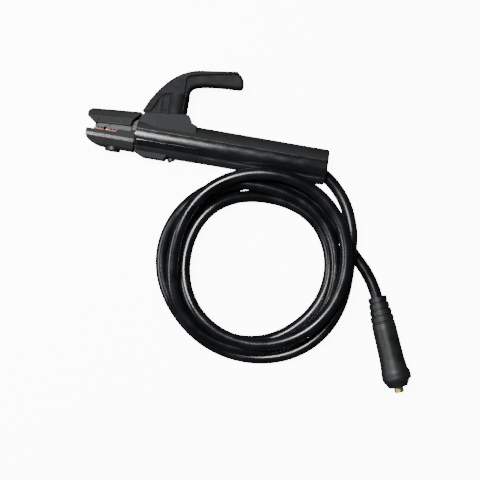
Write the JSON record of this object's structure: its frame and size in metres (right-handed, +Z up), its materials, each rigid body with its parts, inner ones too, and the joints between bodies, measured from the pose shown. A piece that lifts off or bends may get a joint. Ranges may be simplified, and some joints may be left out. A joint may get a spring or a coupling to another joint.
{
  "type": "electrode holder",
  "caption": "Stick-welding electrode holder with sprung lever jaws and an insulated grip, on a coiled lead that ends in a bayonet plug.",
  "frame": {"origin": "middle of the holder's own box, without its lead, on the surface that it lies on on its side", "axes": "+X along the grip towards the lead, +Y towards the lever's hook, +Z up from the surface that it lies on"},
  "size_m": [0.3438, 0.274, 0.0399],
  "materials": {
    "grip_nylon": "moulded black nylon, fine grain, glossy flank",
    "lever_nylon": "moulded black nylon, satin",
    "jaw_insulator": "glass-filled black nylon, satin with worn edges",
    "screw_insulator": "black plastic over a screw head",
    "jaw_tinned": "tinned copper alloy, dull grey with cut teeth",
    "jaw_copper": "forged copper alloy, dull and a little darkened",
    "fixings_steel": "zinc-plated steel",
    "spring_steel": "oiled spring steel",
    "seat_fibre": "pressed insulating fibre",
    "sleeve_copper": "soft copper sheet",
    "strand_copper": "bright copper wire",
    "lead_rubber": "smooth black rubber sheath, semi-gloss",
    "plug_rubber": "moulded black rubber, satin",
    "plug_brass": "machined brass"
  },
  "bodies": {
    "grip": {"handle_shell": "grip_nylon", "lower_jaw_cover": "jaw_insulator", "lower_cover_screw": "screw_insulator", "lock_screw": "screw_insulator", "lower_jaw": "jaw_copper", "grip_screw": "fixings_steel", "cable_clamp_screws": "fixings_steel", "pivot_pin": "fixings_steel", "pivot_clips": "spring_steel", "plug_clamp_screws": "fixings_steel", "compression_spring": "spring_steel", "lower_spring_seat": "seat_fibre", "cable_ferrule": "sleeve_copper", "plug_ferrule": "sleeve_copper", "cable_strands": "strand_copper", "plug_strands": "strand_copper", "cable_in_grip": "lead_rubber", "cable_tail_holder": "lead_rubber", "cable_coil": "lead_rubber", "cable_tail_plug": "lead_rubber", "plug_sleeve": "plug_rubber", "plug_contact": "plug_brass"},
    "lever": {"upper_jaw": "jaw_tinned", "upper_jaw_cover": "jaw_insulator", "upper_cover_screw": "fixings_steel", "lever_shell": "lever_nylon", "lever_screw": "fixings_steel", "upper_spring_seat": "seat_fibre"}
  },
  "joints": [
    {"name": "lever_pivot", "type": "hinge", "parent": "grip", "child": "lever", "pos_m": [-0.05853, -0.01375, 0.017], "axis": [0, 0, -1], "range_deg": [0, 10], "stiffness_Nm_per_rad": 2, "springref_deg": -11.46, "deforming": ["compression_spring"]}
  ]
}
